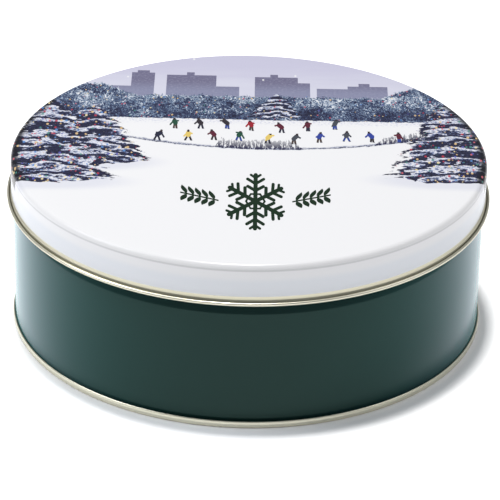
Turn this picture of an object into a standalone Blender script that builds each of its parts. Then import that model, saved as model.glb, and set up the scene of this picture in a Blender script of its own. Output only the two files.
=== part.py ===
# Round cookie tin of pressed tinplate: a slip-on lid, a rolled body wall and a double-seamed base.
# Metres, +Z up. The origin is the centre of the underside, so the tin stands on z = 0.
import math

import bmesh
import bpy
from mathutils import Matrix, Vector

MM = 0.001
SEGMENTS = 48                       # flat sides that stand for one full turn
SHEET = 0.25 * MM                   # tinplate thickness

OVERALL_HEIGHT = 76.6 * MM
RIM_RADIUS = 105.0 * MM             # outside of the lid's rolled edge, the widest place
LID_RADIUS = 103.0 * MM             # outside of the lid's upright skirt
LID_SHOULDER = 3.9 * MM             # outside of the bend between the lid's skirt and its top
LID_ROLL_HEIGHT = 59.6 * MM         # centre of the lid's rolled edge above the floor

WALL_RADIUS = 102.1 * MM            # outside of the body wall
MOUTH_ROLL = 1.1 * MM               # outside radius of the inward roll around the mouth
LID_REST_GAP = 0.3 * MM             # between the mouth roll and the inside of the lid's shoulder

SEAM_GAP = 0.05 * MM                # between the folded layers of the base seam
SEAM_HEIGHT = 3.0 * MM
HOOK_GAP = 0.1 * MM                 # from a hook's edge to the centre of the turn that it reaches into
PANEL_HEIGHT = 3.2 * MM             # middle of the recessed base plate above the floor
PANEL_BEND = 0.6 * MM
BEAD_RADIUS = 86.0 * MM             # where the base plate steps up for stiffness
BEAD_BEND = 2.0 * MM
BEAD_SLOPE = 35                     # degrees

ROLL_TURN = 300                     # degrees that a rolled edge turns through
ROLL_STEPS = 10
SHOULDER_STEPS = 5
TURN_STEPS = 5                      # odd, so that the base seam ends in a flat ring to stand on

SIDE_SEAM_WIDTH = 6.0 * MM          # lock seam that joins the wall's two ends, at the back
SIDE_SEAM_LAYERS = 3                # folded layers inside the wall's own
SIDE_SEAM_BOTTOM = 4.5 * MM
SIDE_SEAM_TOP = 71.5 * MM
SIDE_SEAM_ANGLE = math.radians(90 + 180 / SEGMENTS)     # middle of the flat side next to +Y

# Middle of each layer of the base seam, counted outwards from the body wall.
LAYER_PITCH = SHEET + SEAM_GAP
WALL_MIDDLE = WALL_RADIUS - SHEET / 2
CHUCK_MIDDLE = WALL_MIDDLE - LAYER_PITCH
BODY_HOOK_MIDDLE = WALL_MIDDLE + 2 * LAYER_PITCH
# Both folds at the bottom of the seam turn about one centre; the outer one's last flat lies on z = 0.
BOTTOM_TURN_HEIGHT = (2 * LAYER_PITCH + SHEET / 2) * math.cos(math.pi / 2 / TURN_STEPS)
TOP_TURN_HEIGHT = SEAM_HEIGHT - LAYER_PITCH - SHEET / 2
# The mouth roll nests in the lid's shoulder: their centres are this far apart, outwards and upwards.
NEST_REACH = (LID_SHOULDER - SHEET) * math.cos(math.pi / 4 / SHOULDER_STEPS) - LID_REST_GAP - MOUTH_ROLL
NEST_OUT = (WALL_RADIUS - MOUTH_ROLL) - (LID_RADIUS - LID_SHOULDER)
MOUTH_HEIGHT = OVERALL_HEIGHT - LID_SHOULDER + math.sqrt(NEST_REACH ** 2 - NEST_OUT ** 2)


class SheetPath:
    """A walk along the middle of a sheet in the (radius, height) plane, by straight runs and bends."""

    def __init__(self, radius, height, heading):
        self.place = Vector((radius, height))
        self.heading = math.radians(heading)
        self.stations = []
        self.mark()

    def left(self):
        return Vector((-math.sin(self.heading), math.cos(self.heading)))

    def mark(self):
        self.stations.append((self.place.copy(), self.left()))

    def run(self, length):
        self.place += length * Vector((math.cos(self.heading), math.sin(self.heading)))
        self.mark()

    def bend(self, radius, degrees, steps):
        """Turns left by a positive angle, or right by a negative one."""
        reach = math.copysign(radius, degrees)
        centre = self.place + reach * self.left()
        for _ in range(steps):
            self.heading += math.radians(degrees) / steps
            self.place = centre - reach * self.left()
            self.mark()

    def outline(self):
        """Both faces of the sheet as one chain, out along the left face and back along the right."""
        out = [place + left * SHEET / 2 for place, left in self.stations]
        back = [place - left * SHEET / 2 for place, left in self.stations]
        return out + back[::-1]


def turned(outline, is_disc):
    """Spins an outline about Z. A disc's two open rings are filled; other outlines close on themselves."""
    bm = bmesh.new()
    verts = [bm.verts.new((point.x, 0, point.y)) for point in outline]
    edges = [bm.edges.new(pair) for pair in zip(verts, verts[1:])]
    if not is_disc:
        edges.append(bm.edges.new((verts[-1], verts[0])))
    bmesh.ops.spin(
        bm, geom=verts + edges, cent=(0, 0, 0), axis=(0, 0, 1),
        angle=2 * math.pi, steps=SEGMENTS, use_merge=True,
    )
    if is_disc:
        rings = [edge for edge in bm.edges if edge.is_boundary]
        bmesh.ops.holes_fill(bm, edges=rings, sides=0)
    bmesh.ops.recalc_face_normals(bm, faces=bm.faces)
    return bm


def principled(name, colour, roughness, metallic):
    material = bpy.data.materials.new(name)
    material.use_nodes = True
    shader = material.node_tree.nodes["Principled BSDF"]
    shader.inputs["Base Color"].default_value = (*colour, 1.0)
    shader.inputs["Roughness"].default_value = roughness
    shader.inputs["Metallic"].default_value = metallic
    return material


def add_piece(name, bm, origin_height, material, parent):
    """Makes a named object with its origin on the tin's axis, at a height of its own."""
    bmesh.ops.translate(bm, verts=bm.verts, vec=(0, 0, -origin_height))
    mesh = bpy.data.meshes.new(name)
    bm.to_mesh(mesh)
    bm.free()
    mesh.materials.append(material)
    mesh.shade_smooth()
    mesh.set_sharp_from_angle(angle=math.radians(40))
    piece = bpy.data.objects.new(name, mesh)
    piece.location.z = origin_height
    piece.parent = parent
    bpy.context.collection.objects.link(piece)
    return piece


def make_lid(parent):
    """One drawn shell: flat top, round shoulder, upright skirt, and an edge rolled outwards."""
    shoulder = LID_SHOULDER - SHEET / 2
    path = SheetPath(LID_RADIUS - LID_SHOULDER, OVERALL_HEIGHT - SHEET / 2, heading=0)
    path.bend(shoulder, -90, SHOULDER_STEPS)
    path.run(OVERALL_HEIGHT - LID_SHOULDER - LID_ROLL_HEIGHT)
    path.bend((RIM_RADIUS - LID_RADIUS) / 2, ROLL_TURN, ROLL_STEPS)
    white = principled("printed_white", (0.86, 0.87, 0.89), roughness=0.35, metallic=0.0)
    return add_piece("lid", turned(path.outline(), is_disc=True), OVERALL_HEIGHT, white, parent)


def make_body_wall(parent):
    """A rolled sheet with its mouth rolled inwards and its foot hooked out and up into the base seam."""
    roll = MOUTH_ROLL - SHEET / 2
    hook_top = TOP_TURN_HEIGHT - HOOK_GAP
    path = SheetPath(BODY_HOOK_MIDDLE, hook_top, heading=-90)
    path.run(hook_top - BOTTOM_TURN_HEIGHT)
    path.bend(LAYER_PITCH, -180, TURN_STEPS)
    path.run(MOUTH_HEIGHT - BOTTOM_TURN_HEIGHT)
    path.bend(roll, ROLL_TURN, ROLL_STEPS)
    green = principled("green_enamel", (0.018, 0.045, 0.042), roughness=0.22, metallic=0.0)
    wall = add_piece("body_wall", turned(path.outline(), is_disc=False), 0, green, parent)
    join_side_seam(wall, parent)
    return wall


def join_side_seam(wall, parent):
    """Adds the lock seam's folded layers up the inside of one flat side of the wall."""
    flat = math.cos(math.pi / SEGMENTS)
    outside = WALL_MIDDLE * flat
    inside = (WALL_RADIUS - SHEET) * flat - SIDE_SEAM_LAYERS * SHEET
    size = (outside - inside, SIDE_SEAM_WIDTH, SIDE_SEAM_TOP - SIDE_SEAM_BOTTOM)
    middle = ((outside + inside) / 2, 0, (SIDE_SEAM_TOP + SIDE_SEAM_BOTTOM) / 2)
    turn = Matrix.Rotation(SIDE_SEAM_ANGLE, 4, "Z")
    bm = bmesh.new()
    bmesh.ops.create_cube(bm, size=1, matrix=turn @ Matrix.Translation(middle) @ Matrix.Diagonal((*size, 1)))
    strip = add_piece("side_seam_guide", bm, 0, wall.data.materials[0], parent)
    strip.hide_render = True
    strip.display_type = "WIRE"
    union = wall.modifiers.new("side_seam", "BOOLEAN")
    union.operation = "UNION"
    union.object = strip


def make_base_end(parent):
    """A recessed plate with a stiffening step, its edge folded over the wall's hook as a double seam."""
    bead_rise = 2 * BEAD_BEND * (1 - math.cos(math.radians(BEAD_SLOPE)))
    path = SheetPath(BEAD_RADIUS, PANEL_HEIGHT + bead_rise, heading=0)
    path.bend(BEAD_BEND, -BEAD_SLOPE, steps=2)
    path.bend(BEAD_BEND, BEAD_SLOPE, steps=2)
    path.run(CHUCK_MIDDLE - PANEL_BEND - path.place.x)
    path.bend(PANEL_BEND, -90, steps=3)
    path.run(path.place.y - BOTTOM_TURN_HEIGHT)
    path.bend(2 * LAYER_PITCH, 180, TURN_STEPS)
    path.run(TOP_TURN_HEIGHT - BOTTOM_TURN_HEIGHT)
    path.bend(LAYER_PITCH, 180, steps=4)
    path.run(TOP_TURN_HEIGHT - BOTTOM_TURN_HEIGHT - HOOK_GAP)
    bare = principled("bare_tinplate", (0.60, 0.57, 0.49), roughness=0.30, metallic=1.0)
    return add_piece("base_end", turned(path.outline(), is_disc=True), 0, bare, parent)


def main():
    for old in list(bpy.data.objects):
        bpy.data.objects.remove(old)
    tin = bpy.data.objects.new("cookie_tin", None)
    bpy.context.collection.objects.link(tin)
    make_lid(tin)
    make_body_wall(tin)
    make_base_end(tin)


main()
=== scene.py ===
import math

import bmesh
import bpy
from mathutils import Matrix, Vector, noise


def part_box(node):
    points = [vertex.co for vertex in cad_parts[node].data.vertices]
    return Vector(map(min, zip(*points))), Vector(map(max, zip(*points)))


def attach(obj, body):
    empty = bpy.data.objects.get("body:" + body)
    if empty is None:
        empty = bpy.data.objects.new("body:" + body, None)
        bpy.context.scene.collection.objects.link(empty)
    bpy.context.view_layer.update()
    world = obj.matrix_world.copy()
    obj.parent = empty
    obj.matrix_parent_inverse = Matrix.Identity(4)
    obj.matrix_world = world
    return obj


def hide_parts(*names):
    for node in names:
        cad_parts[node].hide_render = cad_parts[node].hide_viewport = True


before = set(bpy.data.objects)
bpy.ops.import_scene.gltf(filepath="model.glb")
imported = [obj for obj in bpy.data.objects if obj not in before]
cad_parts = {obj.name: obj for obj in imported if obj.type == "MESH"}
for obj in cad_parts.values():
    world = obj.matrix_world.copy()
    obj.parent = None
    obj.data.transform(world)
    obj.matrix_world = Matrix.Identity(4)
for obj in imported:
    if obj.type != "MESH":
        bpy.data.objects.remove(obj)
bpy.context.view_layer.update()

mm = 0.001
turnSteps = 288    # sides of every turned piece

lidLow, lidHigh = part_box("lid")
wallLow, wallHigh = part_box("body_wall")
baseLow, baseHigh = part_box("base_end")
print("frame loaded:", sorted(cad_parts))


# short ways to add and wire shader nodes

def plug(tree, socket, value):
    if isinstance(value, bpy.types.NodeSocket):
        tree.links.new(value, socket)
    else:
        socket.default_value = value


def calc(tree, operation, *values, clamp=False):
    node = tree.nodes.new("ShaderNodeMath")
    node.operation = operation
    node.use_clamp = clamp
    for socket, value in zip(node.inputs, values):
        plug(tree, socket, value)
    return node.outputs[0]


def folded(tree, operation, values):
    # one operation carried along a row of values
    made = values[0]
    for value in values[1:]:
        made = calc(tree, operation, made, value)
    return made


def plus(tree, *values):
    return folded(tree, "ADD", values)


def minus(tree, *values):
    return folded(tree, "SUBTRACT", values)


def times(tree, *values):
    return folded(tree, "MULTIPLY", values)


def largest(tree, *values):
    return folded(tree, "MAXIMUM", values)


def between(tree, value, low, high):
    # 1 where the value lies between the two limits
    return times(tree, calc(tree, "GREATER_THAN", value, low), calc(tree, "LESS_THAN", value, high))


def vectorCalc(tree, operation, *values):
    node = tree.nodes.new("ShaderNodeVectorMath")
    node.operation = operation
    for socket, value in zip(node.inputs, values):
        plug(tree, socket, value)
    gives = "Value" if operation in {"LENGTH", "DISTANCE", "DOT_PRODUCT"} else "Vector"
    return node.outputs[gives]


def squeezed(tree, vector, x, y, z=1.0):
    # a pattern read here comes out longer along an axis with a factor below 1
    return vectorCalc(tree, "MULTIPLY", vector, (x, y, z))


def scaled(tree, vector, factor):
    node = tree.nodes.new("ShaderNodeVectorMath")
    node.operation = "SCALE"
    plug(tree, node.inputs["Vector"], vector)
    plug(tree, node.inputs["Scale"], factor)
    return node.outputs["Vector"]


def split(tree, vector):
    node = tree.nodes.new("ShaderNodeSeparateXYZ")
    plug(tree, node.inputs[0], vector)
    return node.outputs


def joined(tree, x, y, z=0.0):
    node = tree.nodes.new("ShaderNodeCombineXYZ")
    for socket, value in zip(node.inputs, (x, y, z)):
        plug(tree, socket, value)
    return node.outputs[0]


def ramp(tree, value, fromLow, fromHigh, toLow=0.0, toHigh=1.0):
    # smooth step between two values
    node = tree.nodes.new("ShaderNodeMapRange")
    node.interpolation_type = "SMOOTHSTEP"
    for socket, number in zip(node.inputs, (value, fromLow, fromHigh, toLow, toHigh)):
        plug(tree, socket, number)
    return node.outputs[0]


def noiseAt(tree, vector, scale, detail=3.0, roughness=0.5, distortion=0.0):
    node = tree.nodes.new("ShaderNodeTexNoise")
    plug(tree, node.inputs["Vector"], vector)
    node.inputs["Scale"].default_value = scale
    node.inputs["Detail"].default_value = detail
    node.inputs["Roughness"].default_value = roughness
    node.inputs["Distortion"].default_value = distortion
    return node.outputs["Fac"]


def centredNoise(tree, vector, scale, **shape):
    # noise that swings about zero
    return minus(tree, noiseAt(tree, vector, scale, **shape), 0.5)


def cellsAt(tree, vector, scale):
    node = tree.nodes.new("ShaderNodeTexVoronoi")
    plug(tree, node.inputs["Vector"], vector)
    plug(tree, node.inputs["Scale"], scale)
    return node.outputs


def chanceAt(tree, vector):
    # one random draw for each whole step of the vector
    node = tree.nodes.new("ShaderNodeTexWhiteNoise")
    node.noise_dimensions = "3D"
    plug(tree, node.inputs["Vector"], vector)
    return node.outputs


def mixed(tree, factor, under, over):
    node = tree.nodes.new("ShaderNodeMix")
    node.data_type = "RGBA"
    plug(tree, node.inputs[0], factor)
    plug(tree, node.inputs[6], under)
    plug(tree, node.inputs[7], over)
    return node.outputs[2]


def colourBand(tree, value, stops, stepped=False):
    node = tree.nodes.new("ShaderNodeValToRGB")
    band = node.color_ramp
    band.interpolation = "CONSTANT" if stepped else "LINEAR"
    while len(band.elements) < len(stops):
        band.elements.new(1.0)
    for element, (position, colour) in zip(band.elements, stops):
        element.position = position
        element.color = colour
    plug(tree, node.inputs[0], value)
    return node.outputs["Color"]


def ink(red, green, blue):
    # screen colour, 0 to 255, as the linear colour that nodes use
    def linear(level):
        level /= 255
        return level / 12.92 if level <= 0.04045 else ((level + 0.055) / 1.055) ** 2.4
    return (linear(red), linear(green), linear(blue), 1.0)


def newGroup(name, takes, gives):
    kinds = {"value": "NodeSocketFloat", "vector": "NodeSocketVector", "colour": "NodeSocketColor"}
    tree = bpy.data.node_groups.new(name, "ShaderNodeTree")
    for label, kind in takes.items():
        tree.interface.new_socket(label, in_out="INPUT", socket_type=kinds[kind])
    for label, kind in gives.items():
        tree.interface.new_socket(label, in_out="OUTPUT", socket_type=kinds[kind])
    return tree, tree.nodes.new("NodeGroupInput").outputs, tree.nodes.new("NodeGroupOutput").inputs


def placed(tree, group, **values):
    node = tree.nodes.new("ShaderNodeGroup")
    node.node_tree = group
    for label, value in values.items():
        plug(tree, node.inputs[label], value)
    return node.outputs


def newMaterial(name):
    material = bpy.data.materials.new(name)
    material.use_nodes = True
    tree = material.node_tree
    place = tree.nodes.new("ShaderNodeTexCoord").outputs["Object"]
    return material, tree, tree.nodes["Principled BSDF"].inputs, place


# the print on the lid is a snowy park, laid out in millimetres across the lid with +Y at its back

printLook = {
    "snow": ink(249, 249, 251), "snowShade": ink(222, 224, 238), "nearBlack": ink(10, 11, 20),
    "tallDots": 0.6,    # dots are drawn tall, to look round from a low angle
    "nearSpacing": 1.9, "nearSize": 0.52, "farSpacing": 2.2, "farSize": 0.40,
    "poolLift": 3.0, "poolWide": 1.15, "poolDeep": 9.0, "poolFrom": 0.6, "poolTo": 1.2, "poolInk": 0.6,
    "flakes": 0.13, "flakeCore": 0.05, "flakeEdge": 0.09, "flakeInk": 0.9,
    "flakesFrom": 40.0, "flakesTo": 55.0,
}

lightColours = [
    (0.0, ink(190, 60, 80)), (0.2, ink(240, 205, 150)), (0.4, ink(100, 150, 215)),
    (0.55, ink(215, 110, 125)), (0.7, ink(80, 145, 135)), (0.82, ink(250, 232, 180)),
    (0.92, ink(95, 95, 180)),
]


def strokeGroup():
    # 1 within a round-ended stroke from one point to another
    tree, takes, gives = newGroup(
        "stroke",
        {"Place": "vector", "From": "vector", "To": "vector", "Radius": "value"},
        {"Mask": "value"},
    )
    reach = vectorCalc(tree, "SUBTRACT", takes["Place"], takes["From"])
    run = vectorCalc(tree, "SUBTRACT", takes["To"], takes["From"])
    along = calc(
        tree, "DIVIDE",
        vectorCalc(tree, "DOT_PRODUCT", reach, run),
        vectorCalc(tree, "DOT_PRODUCT", run, run), clamp=True,
    )
    away = vectorCalc(tree, "DISTANCE", reach, scaled(tree, run, along))
    plug(tree, gives["Mask"], calc(tree, "LESS_THAN", away, takes["Radius"]))
    return tree


def lightsGroup():
    # scattered coloured dots of uneven size
    look = {"smallest": 0.6, "core": 0.55}
    tree, takes, gives = newGroup(
        "treeLights", {"Place": "vector", "Spacing": "value", "Size": "value"},
        {"Colour": "colour", "Mask": "value"},
    )
    cells = cellsAt(tree, takes["Place"], calc(tree, "DIVIDE", 1.0, takes["Spacing"]))
    pick = split(tree, cells["Color"])
    away = times(tree, cells["Distance"], takes["Spacing"])
    edge = times(tree, takes["Size"], plus(tree, look["smallest"], pick[1]))
    dot = ramp(tree, away, times(tree, edge, look["core"]), edge, 1.0, 0.0)
    plug(tree, gives["Colour"], colourBand(tree, pick[0], lightColours, stepped=True))
    plug(tree, gives["Mask"], dot)
    return tree


firs = {    # centre, apex, foot, half width at the foot, rows of branches
    "back": (12, 60, 35, 14, 6),
    "leftFar": (-69, 47, -14, 28, 8),
    "leftNear": (-88, 52, -33, 34, 8),
    "rightNear": (90, 58, -27, 34, 9),
}

firLook = {    # noise scales first, from the coarsest clumps of branches to the needles
    "clumps": 0.17, "boughs": 0.42, "tufts": 0.75, "specks": 1.0, "needles": 1.4, "twigs": 1.5,
    "level": 0.42, "needleLevel": 0.7, "speckLevel": 0.8, "speckHeight": 1.1,
    "droop": 1.5, "clumpWander": 2.6, "boughWander": 1.1,
    "taper": 0.8, "reach": 0.78, "tierReach": 0.24, "twigReach": 0.30, "clumpReach": 0.45,
    "hem": 0.99, "hemWander": 0.16, "hemRise": -0.05,
    "tuftSnow": 1.3, "boughSnow": 0.6, "snowFull": 0.26, "snowNone": 0.46,
    "halfShade": ink(84, 102, 156), "halfShadeInk": 3.6,
    "rimFrom": 98.0, "rimTo": 101.0, "rimInk": 0.9, "lightInk": 0.88,
}

needleColours = [
    (0.34, printLook["nearBlack"]), (0.50, ink(34, 35, 64)), (0.62, ink(50, 52, 88)),
    (0.72, ink(62, 92, 116)), (0.84, ink(150, 156, 190)),
]

boughSnowColours = [
    (0.33, ink(56, 80, 120)), (0.41, ink(140, 160, 196)), (0.48, ink(216, 220, 238)),
    (0.55, ink(248, 247, 252)),
]


def firGroup():
    # one snow-laden fir: long level branches in tiers that droop away from the trunk
    look = firLook
    tree, takes, gives = newGroup(
        "snowyFir",
        {"Place": "vector", "Centre": "value", "Apex": "value", "Foot": "value",
         "Half Width": "value", "Rows": "value"},
        {"Mask": "value", "Snow": "value"},
    )
    place = split(tree, takes["Place"])
    level = squeezed(tree, takes["Place"], look["level"], 1.0)
    clumps = centredNoise(tree, level, look["clumps"])
    boughs = centredNoise(tree, level, look["boughs"], detail=4.0, roughness=0.6)
    twigs = centredNoise(tree, level, look["twigs"], roughness=0.6)
    tufts = centredNoise(tree, takes["Place"], look["tufts"], detail=4.0, roughness=0.7)
    height = minus(tree, takes["Apex"], takes["Foot"])
    down = calc(tree, "DIVIDE", minus(tree, takes["Apex"], place[1]), height)
    across = calc(tree, "ABSOLUTE", minus(tree, place[0], takes["Centre"]))
    across = calc(tree, "DIVIDE", across, takes["Half Width"])
    # each row of branches runs from 0 at its snowy top to 1 at its dark foot
    droop = minus(tree, times(tree, down, takes["Rows"]), times(tree, across, look["droop"]))
    wander = plus(tree, times(tree, clumps, look["clumpWander"]), times(tree, boughs, look["boughWander"]))
    wholeRows = 4.0    # keeps the sum above zero
    tier = calc(tree, "FRACT", plus(tree, droop, wander, wholeRows))
    # how far out the branches reach, and how low they hang
    cone = calc(tree, "POWER", calc(tree, "MAXIMUM", down, 0.0), look["taper"])
    reach = times(tree, cone, plus(tree, look["reach"], times(tree, tier, look["tierReach"])))
    reach = plus(
        tree, reach, times(tree, twigs, look["twigReach"]), times(tree, clumps, look["clumpReach"]),
    )
    hem = plus(
        tree, times(tree, clumps, look["hemWander"]), times(tree, across, look["hemRise"]), look["hem"],
    )
    inside = times(tree, calc(tree, "LESS_THAN", across, reach), between(tree, down, 0.0, hem))
    lit = plus(tree, tier, times(tree, tufts, look["tuftSnow"]), times(tree, boughs, look["boughSnow"]))
    plug(tree, gives["Mask"], inside)
    plug(tree, gives["Snow"], ramp(tree, lit, look["snowFull"], look["snowNone"], 1.0, 0.0))
    return tree


def firPaint(tree, place, under, fir, group, lights):
    # paints one fir over the picture so far
    look = firLook
    centre, apex, foot, halfWidth, rows = fir
    shape = placed(
        tree, group, Place=place, Centre=centre, Apex=apex, Foot=foot,
        **{"Half Width": halfWidth, "Rows": rows},
    )
    level = squeezed(tree, place, look["needleLevel"], 1.0)
    needles = noiseAt(tree, level, look["needles"], detail=4.0, roughness=0.65)
    level = squeezed(tree, place, look["speckLevel"], look["speckHeight"])
    specks = noiseAt(tree, level, look["specks"], detail=4.0, roughness=0.75, distortion=1.0)
    boughs = mixed(
        tree, shape["Snow"],
        colourBand(tree, needles, needleColours),
        colourBand(tree, specks, boughSnowColours),
    )
    # blue half-shade between the snow and the needles
    melt = times(tree, shape["Snow"], minus(tree, 1.0, shape["Snow"]))
    melt = calc(tree, "MULTIPLY", melt, look["halfShadeInk"], clamp=True)
    boughs = mixed(tree, melt, boughs, look["halfShade"])
    # the branches fall into deep shade towards the rim of the lid
    rim = ramp(tree, vectorCalc(tree, "LENGTH", place), look["rimFrom"], look["rimTo"], 0.0, look["rimInk"])
    boughs = mixed(tree, rim, boughs, printLook["nearBlack"])
    boughs = mixed(tree, times(tree, lights["Mask"], look["lightInk"]), boughs, lights["Colour"])
    return mixed(tree, shape["Mask"], under, boughs)


skyLook = {
    "high": ink(208, 206, 228), "low": ink(220, 220, 236), "lowTo": 62.0, "highFrom": 92.0,
    "clouds": 0.12, "cloudLevel": 0.25, "cloudDrift": 26.0,
    "stone": ink(116, 113, 142), "haze": ink(142, 145, 174), "hazeTo": 60.0, "stoneFrom": 74.0,
    "windows": ink(100, 98, 128), "windowPitch": 0.55, "windowInk": 0.12,
    "worn": ink(165, 165, 190), "wear": 0.8, "wornFrom": 0.45, "wornTo": 0.70, "wornInk": 0.5,
}

skylineBlocks = [    # left, right, top
    (-66, -53, 66.0), (-54, -43.5, 80.5), (-51.5, -46, 82.8),
    (-38, -15.5, 78.6), (-29, -25.5, 81.6), (-16, -5, 67.0),
    (2, 21.5, 77.8), (9, 12.5, 80.6), (21, 27, 72.0),
    (30, 45, 66.5), (44, 62, 69.5), (49, 54, 72.5),
]


def skyPaint(tree, place, x, y):
    look = skyLook
    clouds = centredNoise(tree, squeezed(tree, place, look["cloudLevel"], 1.0), look["clouds"])
    height = plus(tree, y, times(tree, clouds, look["cloudDrift"]))
    sky = mixed(tree, ramp(tree, height, look["lowTo"], look["highFrom"]), look["low"], look["high"])
    skyline = largest(tree, *(
        times(tree, between(tree, x, left, right), calc(tree, "LESS_THAN", y, top))
        for left, right, top in skylineBlocks
    ))
    windows = calc(tree, "PINGPONG", times(tree, x, look["windowPitch"]), 0.5)
    stone = mixed(tree, ramp(tree, y, look["hazeTo"], look["stoneFrom"]), look["haze"], look["stone"])
    stone = mixed(tree, times(tree, windows, look["windowInk"]), stone, look["windows"])
    wear = noiseAt(tree, place, look["wear"], detail=4.0, roughness=0.7)
    wear = ramp(tree, wear, look["wornFrom"], look["wornTo"], 0.0, look["wornInk"])
    return mixed(tree, skyline, sky, mixed(tree, wear, stone, look["worn"]))


woodLook = {
    "top": 52.5, "crowns": 0.11, "crownHeight": 9.0, "fuzz": 0.9, "fuzzHeight": 9.0,
    "middle": 3.0, "sideFrom": 52.0, "sideTo": 72.0, "sideRise": 11.0,
    "twigs": 0.62, "tallTwigs": 0.55, "masses": 0.09, "massTone": 0.35,
    "riseFrom": 34.0, "riseTo": 58.0, "riseMiddle": 0.60, "riseTone": 0.07, "lightInk": 0.75,
}

woodColours = [
    (0.37, ink(24, 26, 54)), (0.45, ink(46, 52, 88)), (0.50, ink(74, 90, 124)),
    (0.55, ink(108, 134, 164)), (0.59, ink(182, 198, 218)), (0.62, ink(246, 247, 252)),
]


def woodPaint(tree, place, x, y, under, lights):
    # the bare wood behind the pond: dark trunks at its foot, frosted twigs above
    look = woodLook
    crowns = noiseAt(tree, joined(tree, x, 0.0), look["crowns"], detail=4.0, roughness=0.6)
    fromMiddle = calc(tree, "ABSOLUTE", minus(tree, x, look["middle"]))
    sides = ramp(tree, fromMiddle, look["sideFrom"], look["sideTo"], 0.0, look["sideRise"])
    fuzz = centredNoise(tree, place, look["fuzz"], roughness=0.6)
    top = plus(
        tree, look["top"], sides,
        times(tree, crowns, look["crownHeight"]), times(tree, fuzz, look["fuzzHeight"]),
    )
    tall = squeezed(tree, place, 1.0, look["tallTwigs"])
    twigs = noiseAt(tree, tall, look["twigs"], detail=5.0, roughness=0.80, distortion=2.0)
    masses = centredNoise(tree, place, look["masses"], detail=2.0)
    rise = minus(tree, ramp(tree, y, look["riseFrom"], look["riseTo"]), look["riseMiddle"])
    tone = plus(tree, twigs, times(tree, rise, look["riseTone"]), times(tree, masses, look["massTone"]))
    wood = colourBand(tree, tone, woodColours)
    wood = mixed(tree, times(tree, lights["Mask"], look["lightInk"]), wood, lights["Colour"])
    return mixed(tree, calc(tree, "LESS_THAN", y, top), under, wood)


groundLook = {
    "edges": 0.35, "speckle": 0.9, "blades": 1.1, "tallBlades": 0.16,    # noise scales
    "bankTop": 33.0, "bankRough": 3.0, "bankFrom": 26.5, "bankTo": 32.0, "frost": ink(206, 209, 230),
    "frostFrom": 0.48, "frostTo": 0.62,
    "middle": 8.0, "shoreLow": 4.0, "shoreCurve": 0.0026, "shoreRough": 3.4, "shoreLine": ink(140, 147, 172),
    "lineLow": (-1.4, -0.2), "lineHigh": (0.3, 1.8), "lineGaps": (0.40, 0.52), "lineFaint": 0.35,
    "reeds": ink(44, 46, 78), "reedHeight": 15.0, "reedFoot": -0.6, "bladeFrom": 0.42, "bladeTo": 0.48,
    "reedsLeft": (-16.0, -12.0), "reedsRight": (18.0, 24.0), "endReeds": (54.0, 60.0), "endReedHeight": 0.8,
    "reedFade": 9.0, "reedTipInk": 0.5,
}


def shoreCurve(tree, x, amount):
    # the shore bends up at both ends
    fromMiddle = minus(tree, x, groundLook["middle"])
    return times(tree, fromMiddle, fromMiddle, amount)


def groundPaint(tree, place, x, y, under):
    # pond, banks, shoreline and the open snow in front
    look = groundLook
    rough = centredNoise(tree, place, look["edges"], detail=4.0, roughness=0.65)
    edge = plus(tree, look["bankTop"], times(tree, rough, look["bankRough"]))
    speckle = noiseAt(tree, place, look["speckle"], detail=4.0, roughness=0.7)
    bank = ramp(tree, y, look["bankFrom"], look["bankTo"])
    frost = ramp(tree, speckle, look["frostFrom"], look["frostTo"])
    snow = mixed(tree, times(tree, bank, frost), printLook["snow"], look["frost"])
    shore = plus(
        tree, look["shoreLow"],
        shoreCurve(tree, x, look["shoreCurve"]), times(tree, rough, look["shoreRough"]),
    )
    above = minus(tree, y, shore)
    line = times(
        tree, ramp(tree, above, *look["lineLow"]), ramp(tree, above, *look["lineHigh"], 1.0, 0.0),
        ramp(tree, speckle, *look["lineGaps"], look["lineFaint"], 1.0),
    )
    snow = mixed(tree, line, snow, look["shoreLine"])
    # reeds stand up from the middle of the shore and from its right end
    tall = squeezed(tree, place, 1.0, look["tallBlades"])
    blades = noiseAt(tree, tall, look["blades"], roughness=0.7, distortion=0.6)
    span = times(tree, ramp(tree, x, *look["reedsLeft"]), ramp(tree, x, *look["reedsRight"], 1.0, 0.0))
    span = largest(tree, span, times(tree, ramp(tree, x, *look["endReeds"]), look["endReedHeight"]))
    reeds = between(tree, above, look["reedFoot"], times(tree, blades, look["reedHeight"], span))
    reeds = times(tree, reeds, ramp(tree, blades, look["bladeFrom"], look["bladeTo"]))
    reeds = times(tree, reeds, ramp(tree, above, 0.0, look["reedFade"], 1.0, look["reedTipInk"]))
    snow = mixed(tree, reeds, snow, look["reeds"])
    return mixed(tree, calc(tree, "LESS_THAN", y, edge), under, snow)


skaterLook = {
    "left": -45.0, "width": 11.6, "low": 8.8, "height": 11.8,    # the cells, in millimetres
    "columns": 10, "rows": 2, "stagger": 0.43, "filled": 0.80, "driftX": 0.26, "driftY": 0.14, "foot": 0.05,
    "sway": 1.4, "swayPitch": 0.115, "curve": 0.0011, "tall": 10.4, "wide": 5.4,
    "poseSeed": 7.0, "coatSeed": 19.0, "skate": ink(60, 60, 75), "hat": ink(58, 48, 52),
    "lean": 0.5, "swing": 0.5, "strideLeast": 0.06, "stride": 0.18,    # from here on, 1 is a skater's height
    "hip": 0.44, "hipsX": (-0.06, 0.07), "ankles": (0.07, 0.05), "legWidth": 0.085,
    "heels": (-0.05, -0.03), "toes": (0.08, 0.10), "ice": (0.02, 0.0), "skateWidth": 0.028,
    "waist": 0.52, "chest": 0.72, "chestWidth": 0.20, "shoulder": 0.74, "shouldersX": (-0.06, 0.06),
    "hand": 0.54, "handsX": (-0.32, 0.30), "armWidth": 0.075,
    "chin": 0.90, "chinLean": 1.25, "crown": 0.95, "crownLean": 1.3, "headWidth": 0.10,
}

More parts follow.
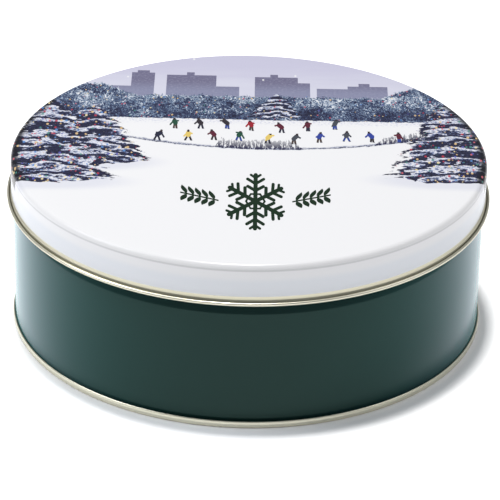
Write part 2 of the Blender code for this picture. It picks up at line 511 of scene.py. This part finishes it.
coatColours = [
    (0.0, ink(160, 30, 45)), (0.13, ink(35, 38, 62)), (0.27, ink(230, 150, 40)), (0.38, ink(48, 42, 50)),
    (0.50, ink(30, 80, 60)), (0.61, ink(50, 70, 160)), (0.72, ink(95, 30, 50)), (0.82, ink(70, 75, 85)),
    (0.92, ink(235, 205, 110)),
]

trouserColours = [
    (0.0, ink(35, 38, 60)), (0.35, ink(50, 45, 48)), (0.6, ink(45, 70, 150)), (0.8, ink(75, 60, 55)),
]


def skaterPaint(tree, x, y, under, stroke):
    # small figures in two loose rows, one to a cell; each cell picks its own lean, stride and colours
    look = skaterLook
    across = calc(tree, "DIVIDE", minus(tree, x, look["left"]), look["width"])
    sway = times(tree, calc(tree, "SINE", times(tree, x, look["swayPitch"])), look["sway"])
    # the rows follow the curve of the shore a little
    shift = minus(tree, sway, shoreCurve(tree, x, look["curve"]))
    up = calc(tree, "DIVIDE", minus(tree, plus(tree, y, shift), look["low"]), look["height"])
    row = calc(tree, "FLOOR", up)
    across = plus(tree, across, times(tree, row, look["stagger"]))
    column = calc(tree, "FLOOR", across)
    chance = chanceAt(tree, joined(tree, column, row, look["poseSeed"]))
    first = split(tree, chance["Color"])
    second = split(tree, chanceAt(tree, joined(tree, column, row, look["coatSeed"]))["Color"])
    there = times(
        tree, between(tree, up, 0.0, look["rows"]), between(tree, across, 0.0, look["columns"]),
        calc(tree, "LESS_THAN", chance["Value"], look["filled"]),
    )
    drift = times(tree, minus(tree, first[0], 0.5), look["driftX"])
    localX = times(tree, minus(tree, across, column, 0.5, drift), look["width"] / look["wide"])
    drift = times(tree, first[1], look["driftY"])
    localY = times(tree, minus(tree, up, row, look["foot"], drift), look["height"] / look["tall"])
    body = joined(tree, localX, localY)
    lean = times(tree, minus(tree, first[2], 0.5), look["lean"])
    stride = plus(tree, look["strideLeast"], times(tree, second[0], look["stride"]))
    swing = times(tree, minus(tree, second[1], 0.5), look["swing"])

    def limb(fromX, fromY, toX, toY, radius):
        start, end = joined(tree, fromX, fromY), joined(tree, toX, toY)
        return placed(tree, stroke, Place=body, From=start, To=end, Radius=radius)["Mask"]

    feet = (times(tree, stride, -1.0), stride)
    hands = (plus(tree, look["hand"], swing), minus(tree, look["hand"], swing))
    legs, skates, arms = [], [], []
    for side in (0, 1):
        foot, ice = feet[side], look["ice"][side]
        heel, toe = plus(tree, foot, look["heels"][side]), plus(tree, foot, look["toes"][side])
        shoulderX = plus(tree, lean, look["shouldersX"][side])
        handX = plus(tree, lean, look["handsX"][side])
        legs.append(limb(look["hipsX"][side], look["hip"], foot, look["ankles"][side], look["legWidth"]))
        skates.append(limb(heel, ice, toe, ice, look["skateWidth"]))
        arms.append(limb(shoulderX, look["shoulder"], handX, hands[side], look["armWidth"]))
    trunk = limb(0.0, look["waist"], lean, look["chest"], look["chestWidth"])
    chinX, crownX = times(tree, lean, look["chinLean"]), times(tree, lean, look["crownLean"])
    head = limb(chinX, look["chin"], crownX, look["crown"], look["headWidth"])
    coats = [(position * look["filled"], colour) for position, colour in coatColours]
    picture = under
    for mask, colour in (
        (largest(tree, *legs), colourBand(tree, second[2], trouserColours, stepped=True)),
        (largest(tree, *skates), look["skate"]),
        (largest(tree, trunk, *arms), colourBand(tree, chance["Value"], coats, stepped=True)),
        (head, look["hat"]),
    ):
        picture = mixed(tree, times(tree, mask, there), picture, colour)
    return picture


markLook = {
    "ink": ink(4, 40, 14), "centre": (3.0, -46.0), "size": 12.6, "stretch": 1.95,
    "strokes": [    # from, to and half width of one arm of the crystal, laid along X
        ((0.0, 0.0), (1.0, 0.0), 0.072), ((0.40, 0.0), (0.56, 0.26), 0.058),
        ((0.66, 0.0), (0.84, 0.27), 0.055), ((0.88, 0.0), (1.0, 0.16), 0.045),
    ],
    "hexagon": 0.27, "hexagonWidth": 0.035,
    "sprigStart": 1.25, "sprigEnd": 2.5, "sprigSlope": 0.22, "levelAt": 1.2, "stemWidth": 0.028,
    "leaves": 5, "leafPitch": 0.235, "leafLength": 0.30, "leafLean": 0.75, "leafWidth": 0.42,
}


def markPaint(tree, place, under, stroke):
    # a plain snow crystal between two leafy sprigs
    look = markLook
    spot = vectorCalc(tree, "SUBTRACT", place, (*look["centre"], 0.0))
    unit = squeezed(tree, spot, 1 / look["size"], 1 / look["size"] / look["stretch"], 0.0)
    a, b = split(tree, unit)[:2]
    # six arms: the angle is folded back and forth over half of one arm
    radius = vectorCalc(tree, "LENGTH", unit)
    angle = plus(tree, calc(tree, "ARCTAN2", a, b), 2 * math.pi)
    fold = calc(tree, "PINGPONG", angle, math.radians(30))
    armX = times(tree, radius, calc(tree, "COSINE", fold))
    arm = joined(tree, armX, times(tree, radius, calc(tree, "SINE", fold)))
    strokes = [
        placed(tree, stroke, Place=arm, From=(*start, 0), To=(*end, 0), Radius=width)["Mask"]
        for start, end, width in look["strokes"]
    ]
    fromHexagon = calc(tree, "ABSOLUTE", minus(tree, armX, look["hexagon"]))
    strokes.append(calc(tree, "LESS_THAN", fromHexagon, look["hexagonWidth"]))
    # the sprigs mirror each other, with pairs of leaves that lean outwards
    side = calc(tree, "ABSOLUTE", a)
    rise = minus(tree, b, times(tree, minus(tree, side, look["levelAt"]), look["sprigSlope"]))
    count = calc(tree, "DIVIDE", minus(tree, side, look["sprigStart"]), look["leafPitch"])
    tip = calc(tree, "DIVIDE", calc(tree, "ABSOLUTE", rise), look["leafLength"])
    bow = calc(tree, "SINE", times(tree, calc(tree, "MINIMUM", tip, 1.0), math.pi))
    leaning = minus(tree, count, times(tree, tip, look["leafLean"]))
    aside = calc(tree, "ABSOLUTE", minus(tree, calc(tree, "FRACT", leaning), 0.5))
    leaf = calc(tree, "LESS_THAN", aside, times(tree, bow, look["leafWidth"]))
    leaf = times(tree, leaf, between(tree, leaning, 0.0, look["leaves"]))
    stem = placed(
        tree, stroke, Place=joined(tree, side, rise), From=(look["sprigStart"], 0, 0),
        To=(look["sprigEnd"], 0, 0), Radius=look["stemWidth"],
    )["Mask"]
    return mixed(tree, largest(tree, *strokes, leaf, stem), under, look["ink"])


def winterPrint():
    look = printLook
    tree, takes, gives = newGroup("winterPrint", {"Place": "vector"}, {"Colour": "colour"})
    stroke, fir, lights = strokeGroup(), firGroup(), lightsGroup()
    place = takes["Place"]
    x, y = split(tree, place)[:2]
    dots = squeezed(tree, place, 1.0, look["tallDots"])
    nearLights = placed(tree, lights, Place=dots, Spacing=look["nearSpacing"], Size=look["nearSize"])
    farLights = placed(tree, lights, Place=dots, Spacing=look["farSpacing"], Size=look["farSize"])
    picture = skyPaint(tree, place, x, y)
    picture = woodPaint(tree, place, x, y, picture, farLights)
    picture = firPaint(tree, place, picture, firs["back"], fir, farLights)
    picture = groundPaint(tree, place, x, y, picture)
    picture = skaterPaint(tree, x, y, picture, stroke)
    for name in ("leftFar", "leftNear", "rightNear"):
        centre, _, foot, halfWidth, _ = firs[name]
        # blue shade on the snow at the tree's foot
        pool = vectorCalc(tree, "SUBTRACT", place, (centre, foot + look["poolLift"], 0.0))
        pool = vectorCalc(tree, "DIVIDE", pool, (halfWidth * look["poolWide"], look["poolDeep"], 1.0))
        pool = vectorCalc(tree, "LENGTH", pool)
        pool = ramp(tree, pool, look["poolFrom"], look["poolTo"], look["poolInk"], 0.0)
        picture = mixed(tree, pool, picture, look["snowShade"])
        picture = firPaint(tree, place, picture, firs[name], fir, nearLights)
    flake = cellsAt(tree, dots, look["flakes"])["Distance"]
    flake = ramp(tree, flake, look["flakeCore"], look["flakeEdge"], look["flakeInk"], 0.0)
    flake = times(tree, flake, ramp(tree, y, look["flakesFrom"], look["flakesTo"]))
    picture = mixed(tree, flake, picture, look["snow"])
    picture = markPaint(tree, place, picture, stroke)
    plug(tree, gives["Colour"], picture)
    return tree


def grainGroup():
    # the fine drawn grain of rolled tinplate, with faint smudges that dull and darken it together
    look = {"lines": (60.0, 2500.0, 2500.0), "smudges": 45.0, "specks": 1800.0, "speckHeight": 0.15}
    tree, takes, gives = newGroup(
        "sheetGrain", {"Place": "vector", "Grain": "value", "Smudge": "value"},
        {"Roughness": "value", "Height": "value", "Tone": "value"},
    )
    lines = noiseAt(tree, squeezed(tree, takes["Place"], *look["lines"]), 1.0, roughness=0.6)
    smudges = centredNoise(tree, takes["Place"], look["smudges"], detail=4.0, roughness=0.6)
    specks = noiseAt(tree, takes["Place"], look["specks"], detail=2.0)
    rough = times(tree, minus(tree, lines, 0.5), takes["Grain"])
    change = plus(tree, rough, times(tree, smudges, takes["Smudge"]))
    height = plus(tree, times(tree, lines, takes["Grain"]), times(tree, specks, look["speckHeight"]))
    plug(tree, gives["Roughness"], change)
    plug(tree, gives["Tone"], change)
    plug(tree, gives["Height"], height)
    return tree


def addBump(tree, shader, height, distance, strength):
    bump = tree.nodes.new("ShaderNodeBump")
    bump.inputs["Distance"].default_value = distance
    bump.inputs["Strength"].default_value = strength
    plug(tree, bump.inputs["Height"], height)
    plug(tree, shader["Normal"], bump.outputs[0])


def bareTinplate(grain):
    look = {
        "colour": (0.76, 0.73, 0.59), "darker": 0.82, "lighter": 1.12, "rough": 0.33,
        "grain": 0.10, "smudge": 0.14, "grainDepth": 0.02 * mm, "grainStrength": 0.3,
    }
    material, tree, shader, place = newMaterial("bareTinplate")
    sheet = placed(tree, grain, Place=place, Grain=look["grain"], Smudge=look["smudge"])
    darker = tuple(level * look["darker"] for level in look["colour"]) + (1.0,)
    lighter = tuple(level * look["lighter"] for level in look["colour"]) + (1.0,)
    plug(tree, shader["Base Color"], mixed(tree, plus(tree, 0.5, sheet["Tone"]), darker, lighter))
    plug(tree, shader["Roughness"], calc(tree, "ADD", look["rough"], sheet["Roughness"], clamp=True))
    shader["Metallic"].default_value = 1.0
    addBump(tree, shader, sheet["Height"], look["grainDepth"], look["grainStrength"])
    return material


varnishLook = {"peelScale": 420.0, "peelDepth": 0.01 * mm}    # the faint orange peel of stoved varnish


def varnishBump(tree, shader, place, strength):
    peel = noiseAt(tree, place, varnishLook["peelScale"], detail=2.0)
    addBump(tree, shader, peel, varnishLook["peelDepth"], strength)


def greenEnamel(grain):
    # transparent green lacquer over bright plate: it mirrors its surroundings darkly
    look = {
        "deep": (0.010, 0.0175, 0.0150, 1.0), "light": (0.016, 0.0265, 0.0235, 1.0), "toneGain": 4.0,
        "rough": 0.13, "grain": 0.015, "smudge": 0.04, "peel": 0.10, "edgeTint": (1.0, 0.94, 1.0, 1.0),
        "sheen": 0.46, "sheenRough": 0.50, "sheenTint": (0.20, 0.78, 0.76, 1.0),
        # painted shade for the crevice above the base seam
        "shade": (0.001, 0.002, 0.001, 1.0), "shadeFrom": baseHigh.z + 0.1 * mm, "shadeHeight": 0.4 * mm,
    }
    material, tree, shader, place = newMaterial("greenEnamel")
    sheet = placed(tree, grain, Place=place, Grain=look["grain"], Smudge=look["smudge"])
    tone = plus(tree, 0.5, times(tree, sheet["Tone"], look["toneGain"]))
    green = mixed(tree, tone, look["deep"], look["light"])
    # painted shade: the colour is darkened to near black just above the base seam, where the crevice lies
    shadeTop = look["shadeFrom"] + look["shadeHeight"]
    creviceShade = ramp(tree, split(tree, place)[2], look["shadeFrom"], shadeTop, 1.0, 0.0)
    plug(tree, shader["Base Color"], mixed(tree, creviceShade, green, look["shade"]))
    plug(tree, shader["Roughness"], calc(tree, "ADD", look["rough"], sheet["Roughness"], clamp=True))
    shader["Metallic"].default_value = 1.0
    shader["Specular Tint"].default_value = look["edgeTint"]
    shader["Sheen Weight"].default_value = look["sheen"]
    shader["Sheen Roughness"].default_value = look["sheenRough"]
    shader["Sheen Tint"].default_value = look["sheenTint"]
    varnishBump(tree, shader, place, look["peel"])
    return material


def printedLid(grain):
    look = {    # heights below the top of the lid, and above the roll for the bare margin
        "shadeFadeFrom": 0.3 * mm, "shadeFadeTo": 3.0 * mm, "topShade": 0.572, "sideShade": 0.78,
        "printEnd": 5.0 * mm, "whiteFrom": 8.5 * mm, "white": ink(214, 217, 222),
        # the line keys set a band of painted shade at the foot of the shoulder
        "lineTop": 1.9 * mm, "lineFoot": 3.1 * mm, "lineCore": 0.2 * mm, "lineShade": 0.80,
        "rollTop": lidLow.z + 1.55 * mm, "bareTo": 2.05 * mm, "inkedFrom": 2.45 * mm,
        "plate": (0.50, 0.48, 0.37, 1.0),
        "rough": 0.26, "bareRough": 0.08, "gloss": 0.25, "grain": 0.02, "smudge": 0.05, "peel": 0.12,
    }
    material, tree, shader, place = newMaterial("printedLid")
    x, y, z = split(tree, place)
    # the flat picture carries on down over the shoulder, as if the sheet were still flat
    radius = vectorCalc(tree, "LENGTH", joined(tree, x, y))
    below = calc(tree, "MAXIMUM", minus(tree, lidHigh.z, z), 0.0)
    unroll = calc(tree, "DIVIDE", plus(tree, radius, below), calc(tree, "MAXIMUM", radius, 1 * mm))
    flat = scaled(tree, joined(tree, x, y), times(tree, unroll, 1 / mm))
    picture = placed(tree, winterPrint(), Place=flat)["Colour"]
    # painted shade: the picture is darkened more on the top, which takes the most light, than over the
    # shoulder and skirt
    strength = ramp(tree, below, look["shadeFadeFrom"], look["shadeFadeTo"], look["topShade"], look["sideShade"])
    picture = scaled(tree, picture, strength)
    picture = mixed(tree, ramp(tree, below, look["printEnd"], look["whiteFrom"]), picture, look["white"])
    # painted shade: a fine darker line multiplied into the colour where the shoulder meets the skirt
    lineMiddle = (look["lineTop"] + look["lineFoot"]) / 2
    line = calc(tree, "ABSOLUTE", minus(tree, below, lineMiddle))
    line = ramp(tree, line, look["lineCore"], look["lineFoot"] - lineMiddle, look["lineShade"], 1.0)
    picture = scaled(tree, picture, line)
    # the sheet is left bare for the last stretch above the roll
    toRoll = minus(tree, z, look["rollTop"])
    bare = ramp(tree, toRoll, look["bareTo"], look["inkedFrom"], 1.0, 0.0)
    picture = mixed(tree, bare, picture, look["plate"])
    sheet = placed(tree, grain, Place=place, Grain=look["grain"], Smudge=look["smudge"])
    plug(tree, shader["Base Color"], picture)
    rough = plus(tree, look["rough"], times(tree, bare, look["bareRough"]))
    plug(tree, shader["Roughness"], calc(tree, "ADD", rough, sheet["Roughness"], clamp=True))
    plug(tree, shader["Metallic"], bare)
    shader["Specular IOR Level"].default_value = look["gloss"]
    varnishBump(tree, shader, place, look["peel"])
    return material


# sheet metal shapes: a profile drawn in the XZ plane, spun about Z, then given its thickness

sheetLook = {
    "thickness": 0.25 * mm, "rollTurn": 300, "rollSteps": 28, "merge": 0.001 * mm, "waveScale": 22,
}


def startProfile(x, z, heading):
    bm = bmesh.new()
    return {"bm": bm, "tip": bm.verts.new((x, 0, z)), "heading": math.radians(heading)}


def run(profile, length, steps=1):
    # a straight stretch, extruded from the profile's tip
    step = length / steps * Vector((math.cos(profile["heading"]), 0, math.sin(profile["heading"])))
    for _ in range(steps):
        made = bmesh.ops.extrude_vert_indiv(profile["bm"], verts=[profile["tip"]])
        profile["tip"] = made["verts"][0]
        profile["tip"].co += step


def bend(profile, radius, degrees, steps):
    # an arc, spun from the profile's tip: to the left for a positive angle
    side = math.copysign(radius, degrees)
    left = Vector((-math.sin(profile["heading"]), 0, math.cos(profile["heading"])))
    made = bmesh.ops.spin(
        profile["bm"], geom=[profile["tip"]], cent=profile["tip"].co + side * left, axis=(0, -1, 0),
        angle=math.radians(degrees), steps=steps,
    )
    profile["tip"] = next(item for item in made["geom_last"] if isinstance(item, bmesh.types.BMVert))
    profile["heading"] += math.radians(degrees)


def spun(profile, probeHeight):
    # turns the profile about Z, with its faces pointing out where the sheet stands upright at that height
    bm = profile["bm"]
    bmesh.ops.spin(
        bm, geom=bm.verts[:] + bm.edges[:], cent=(0, 0, 0), axis=(0, 0, 1),
        angle=2 * math.pi, steps=turnSteps, use_merge=True,
    )
    bmesh.ops.remove_doubles(bm, verts=bm.verts, dist=sheetLook["merge"])
    bmesh.ops.recalc_face_normals(bm, faces=bm.faces)

    def outermost(face):
        # far from the axis, and above all near the probe's height
        middle = face.calc_center_median()
        return middle.xy.length - 4 * abs(middle.z - probeHeight)

    probe = max(bm.faces, key=outermost)
    if probe.normal.xy.dot(probe.calc_center_median().xy) < 0:
        bmesh.ops.reverse_faces(bm, faces=bm.faces)
    return bm


def addPiece(name, bm, materials, body, node=None, sheet=True):
    mesh = bpy.data.meshes.new(name)
    bm.to_mesh(mesh)
    bm.free()
    for material in materials:
        mesh.materials.append(material)
    mesh.shade_smooth()
    piece = bpy.data.objects.new(name, mesh)
    bpy.context.scene.collection.objects.link(piece)
    if sheet:
        wall = piece.modifiers.new("sheet", "SOLIDIFY")
        wall.thickness = sheetLook["thickness"]
        wall.offset = 0
        wall.use_even_offset = True
        wall.material_offset = 1
        wall.material_offset_rim = 1
    if node:
        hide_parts(node)
    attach(piece, body)
    print("made", name, len(mesh.polygons), "faces")


def ripple(bm, radius, crown, waves):
    # a flat drawn panel is never quite flat: a low crown and slow waves that fade out at its edge
    for vert in bm.verts:
        away = vert.co.xy.length / radius
        if away < 1:
            dome = 1 - away ** 2
            wave = noise.noise(vert.co * sheetLook["waveScale"])
            vert.co.z += crown * dome + waves * dome ** 2 * wave


def makeLid(printed, bare):
    look = {
        "shoulder": 2.4 * mm, "skirtRadius": 103.0 * mm, "roll": 0.65 * mm, "rollTurn": 290, "flare": 32,
        "rings": 14, "crown": -0.10 * mm, "waves": 0.06 * mm,
        "shoulderSteps": 12, "skirtSteps": 3, "flareSteps": 5,
    }
    half = sheetLook["thickness"] / 2
    flat = look["skirtRadius"] - look["shoulder"]
    # the skirt steps out over a short flare before its edge is rolled outwards
    step = lidHigh.x - half - 2 * look["roll"] - look["skirtRadius"]
    flareBend = step / 2 / (1 - math.cos(math.radians(look["flare"])))
    flareHeight = 2 * flareBend * math.sin(math.radians(look["flare"]))
    rollHeight = lidLow.z + half + look["roll"]
    profile = startProfile(0, lidHigh.z - half, 0)
    run(profile, flat, look["rings"])
    bend(profile, look["shoulder"] - half, -90, look["shoulderSteps"])
    run(profile, profile["tip"].co.z - rollHeight - flareHeight, look["skirtSteps"])
    bend(profile, flareBend, look["flare"], look["flareSteps"])
    bend(profile, flareBend, -look["flare"], look["flareSteps"])
    bend(profile, look["roll"], look["rollTurn"], sheetLook["rollSteps"])
    bm = spun(profile, probeHeight=(rollHeight + lidHigh.z) / 2)
    ripple(bm, flat, look["crown"], look["waves"])
    addPiece("lid_shell", bm, [printed, bare], "lid", node="lid")


seamLook = {
    "pitch": 0.30 * mm, "bottomTurn": 0.69 * mm, "topTurn": 2.575 * mm, "hookGap": 0.1 * mm, "turnSteps": 14,
}

sideSeamLook = {
    "angle": math.radians(93.75), "width": 6.0 * mm, "low": 4.5 * mm, "high": 71.5 * mm,
    "depth": 0.75 * mm, "lap": 0.06 * mm, "soft": 0.18 * mm,
    "crease": 0.16 * mm, "creaseEnd": 2.5 * mm, "skin": 0.05 * mm,
    "creaseTurn": 0.0022, "cutReach": 0.06,    # in radians
}

wallLook = {"radius": 102.1 * mm, "roll": 1.1 * mm, "margin": 66.0 * mm, "steps": 8, "marginSteps": 2}


def creaseSideSeam(bm, radius):
    # two fine folds down the outside of the wall, where the lock seam begins and ends
    look = sideSeamLook
    half = look["width"] / 2 / radius
    fine = look["creaseTurn"]
    for fold in (-half, half):
        for shift in (-2 * fine, -fine, 0, fine, 2 * fine):
            angle = look["angle"] + fold + shift
            near = []
            for face in bm.faces:
                centre = face.calc_center_median()
                if abs(math.atan2(centre.y, centre.x) - angle) < look["cutReach"]:
                    near.append(face)
            geom = near + list({edge for face in near for edge in face.edges})
            geom += list({vert for face in near for vert in face.verts})
            normal = (-math.sin(angle), math.cos(angle), 0)
            bmesh.ops.bisect_plane(bm, geom=geom, dist=1e-7, plane_co=(0, 0, 0), plane_no=normal)
    creaseTop = wallHigh.z - look["creaseEnd"]
    outermost = radius + look["skin"]
    for vert in bm.verts:
        turn = math.atan2(vert.co.y, vert.co.x) - look["angle"]
        away = min(abs(turn - half), abs(turn + half)) / fine
        if away < 2 and vert.co.z < creaseTop and vert.co.xy.length < outermost:
            sink = look["crease"] * (1 - away / 2)
            vert.co.xy *= 1 - sink / radius


def makeWall(enamel, bare):
    look = wallLook
    half = sheetLook["thickness"] / 2
    pitch = seamLook["pitch"]
    middle = look["radius"] - half
    hookTop = seamLook["topTurn"] - seamLook["hookGap"]
    profile = startProfile(middle + 2 * pitch, hookTop, -90)
    run(profile, hookTop - seamLook["bottomTurn"])
    bend(profile, pitch, -180, seamLook["turnSteps"])
    run(profile, look["margin"] - seamLook["bottomTurn"], look["steps"])
    run(profile, wallHigh.z - look["roll"] - look["margin"], look["marginSteps"])
    bend(profile, look["roll"] - half, sheetLook["rollTurn"], sheetLook["rollSteps"])
    bm = spun(profile, probeHeight=wallHigh.z / 2)
    creaseSideSeam(bm, middle)
    for face in bm.faces:
        if face.calc_center_median().z > look["margin"]:
            face.material_index = 1
    addPiece("wall_shell", bm, [enamel, bare, bare], "body", node="body_wall")


def makeSideSeam(bare):
    # the folded layers of the lock seam, up the inside of the wall
    look = sideSeamLook
    inside = wallLook["radius"] - sheetLook["thickness"]
    bm = bmesh.new()
    bmesh.ops.create_cube(bm, size=1)
    size = (look["depth"], look["width"], look["high"] - look["low"])
    bmesh.ops.scale(bm, verts=bm.verts, vec=size)
    bmesh.ops.bevel(
        bm, geom=bm.edges[:], affect="EDGES", offset=look["soft"], segments=3, profile=0.5, material=-1,
    )
    place = Matrix.Rotation(look["angle"], 4, "Z") @ Matrix.Translation(
        (inside - look["depth"] / 2 + look["lap"], 0, (look["high"] + look["low"]) / 2)
    )
    bmesh.ops.transform(bm, matrix=place, verts=bm.verts)
    addPiece("side_seam", bm, [bare], "body", sheet=False)


def makeBase(bare):
    look = {
        "panel": 3.2 * mm, "bend": 0.6 * mm, "bead": 86.0 * mm, "beadBend": 2.0 * mm, "slope": 35,
        "swell": 12, "rings": 12, "waves": 0.08 * mm, "beadSteps": 5, "landSteps": 3, "bendSteps": 6,
        "swellSteps": 4,
    }
    half = sheetLook["thickness"] / 2
    pitch = seamLook["pitch"]
    outer = baseHigh.x - half
    chuck = outer - 4 * pitch
    rise = 2 * look["beadBend"] * (1 - math.cos(math.radians(look["slope"])))
    profile = startProfile(0, look["panel"] + rise, 0)
    run(profile, look["bead"], look["rings"])
    bend(profile, look["beadBend"], -look["slope"], look["beadSteps"])
    bend(profile, look["beadBend"], look["slope"], look["beadSteps"])
    run(profile, chuck - look["bend"] - profile["tip"].co.x, look["landSteps"])
    bend(profile, look["bend"], -90, look["bendSteps"])
    run(profile, profile["tip"].co.z - seamLook["bottomTurn"])
    bend(profile, 2 * pitch, 180, seamLook["turnSteps"])
    # the outer face of the seam swells a little, like a bead
    seamHeight = seamLook["topTurn"] - seamLook["bottomTurn"]
    swellBend = seamHeight / (4 * math.sin(math.radians(look["swell"])))
    bend(profile, swellBend, -look["swell"], look["swellSteps"])
    bend(profile, swellBend, 2 * look["swell"], 2 * look["swellSteps"])
    bend(profile, swellBend, -look["swell"], look["swellSteps"])
    bend(profile, pitch, 180, seamLook["turnSteps"])
    run(profile, seamHeight - seamLook["hookGap"])
    bm = spun(profile, probeHeight=seamHeight / 2 + seamLook["bottomTurn"])
    ripple(bm, look["bead"], 0, look["waves"])
    addPiece("base_shell", bm, [bare, bare], "body", node="base_end")


stageLook = {
    "floor": 6.0, "floorDrop": 0.05 * mm, "floorTone": (0.96, 0.96, 0.97, 1), "floorRough": 0.7,
    "floorGlow": 0.05, "sky": 0.27, "skyTone": (0.94, 0.97, 1.0, 1),
    # the flag paints the shade band under the lid's rim into the wall's reflections
    "flagRadius": 106.1 * mm, "flagLow": 51.3 * mm, "flagHigh": 57.4 * mm, "flagGlow": 0.36,
}

lamps = {    # place, what it faces, width, depth, watts, colour
    "overhead": ((-0.16, 0.34, 4.0), (-0.16, 0.34, 0), 0.50, 0.50, 172.0, (1.0, 0.99, 0.97)),
    "leftFill": ((-0.85, 0.0, 1.05), (-0.1, 0, 0), 0.5, 0.6, 8.2, (0.93, 0.95, 1.0)),
    "rightFill": ((0.85, 0.0, 1.05), (0.1, 0, 0), 0.5, 0.6, 2.3, (0.94, 0.94, 1.0)),
}


def plainMaterial(name, colour, roughness, glow):
    material, _, shader, _ = newMaterial(name)
    shader["Base Color"].default_value = colour
    shader["Roughness"].default_value = roughness
    shader["Emission Color"].default_value = (1, 1, 1, 1)
    shader["Emission Strength"].default_value = glow
    return material


def addStagePiece(name, bm, material):
    mesh = bpy.data.meshes.new(name)
    bm.to_mesh(mesh)
    bm.free()
    mesh.materials.append(material)
    piece = bpy.data.objects.new(name, mesh)
    bpy.context.scene.collection.objects.link(piece)
    return piece


def setFloor():
    look = stageLook
    bm = bmesh.new()
    bmesh.ops.create_grid(bm, x_segments=1, y_segments=1, size=look["floor"] / 2)
    bmesh.ops.translate(bm, verts=bm.verts, vec=(0, 0, -look["floorDrop"]))
    white = plainMaterial("floorWhite", look["floorTone"], look["floorRough"], look["floorGlow"])
    addStagePiece("floor", bm, white)


def setFlag():
    # a dark, faintly glowing ring hung close round the wall below the rim; it shows only in glossy
    # reflections, where it paints a band of shade onto the wall just under the lid's rim
    look = stageLook
    bm = bmesh.new()
    bmesh.ops.create_circle(bm, segments=turnSteps, radius=look["flagRadius"])
    bmesh.ops.translate(bm, verts=bm.verts, vec=(0, 0, look["flagLow"]))
    made = bmesh.ops.extrude_edge_only(bm, edges=bm.edges[:])
    upper = [item for item in made["geom"] if isinstance(item, bmesh.types.BMVert)]
    bmesh.ops.translate(bm, verts=upper, vec=(0, 0, look["flagHigh"] - look["flagLow"]))
    black = plainMaterial("flagBlack", (0, 0, 0, 1), 1.0, look["flagGlow"])
    flag = addStagePiece("shadeFlag", bm, black)
    flag.visible_camera = False
    flag.visible_diffuse = False
    flag.visible_shadow = False
    flag.visible_transmission = False


def setLights():
    look = stageLook
    world = bpy.data.worlds.new("studio")
    world.use_nodes = True
    sky = world.node_tree.nodes["Background"].inputs
    sky["Color"].default_value = look["skyTone"]
    sky["Strength"].default_value = look["sky"]
    bpy.context.scene.world = world
    bpy.context.scene.view_settings.view_transform = "Standard"
    for name, (place, facing, width, depth, watts, colour) in lamps.items():
        lamp = bpy.data.lights.new(name, "AREA")
        lamp.shape = "RECTANGLE"
        lamp.size = width
        lamp.size_y = depth
        lamp.energy = watts
        lamp.color = colour
        holder = bpy.data.objects.new(name, lamp)
        holder.location = place
        holder.rotation_mode = "QUATERNION"
        holder.rotation_quaternion = (Vector(facing) - Vector(place)).to_track_quat("-Z", "Y")
        bpy.context.scene.collection.objects.link(holder)


def setCamera():
    look = {
        "distance": 1.3087, "elevation": math.radians(26.92), "from": Vector((0, 0, 59.6 * mm)),
        "aim": Vector((1.2 * mm, 0, 28.8 * mm)), "tilt": math.radians(1.12), "lens": 216.5, "sensor": 36,
        "nearest": 0.05, "farthest": 20,
    }
    lens = bpy.data.cameras.new("camera")
    lens.lens = look["lens"]
    lens.sensor_width = look["sensor"]
    lens.clip_start = look["nearest"]
    lens.clip_end = look["farthest"]
    camera = bpy.data.objects.new("camera", lens)
    away = Vector((0, -math.cos(look["elevation"]), math.sin(look["elevation"])))
    camera.location = look["from"] + look["distance"] * away
    forward = look["aim"] - camera.location
    camera.rotation_mode = "QUATERNION"
    level = forward.to_track_quat("-Z", "Y")
    camera.rotation_quaternion = level @ Matrix.Rotation(look["tilt"], 3, "Z").to_quaternion()
    bpy.context.scene.collection.objects.link(camera)
    bpy.context.scene.camera = camera


setCamera()
setFloor()
setFlag()
setLights()
print("stage set")
sheetGrain = grainGroup()
bareMetal = bareTinplate(sheetGrain)
makeLid(printedLid(sheetGrain), bareMetal)
makeWall(greenEnamel(sheetGrain), bareMetal)
makeSideSeam(bareMetal)
makeBase(bareMetal)
print("pieces made")
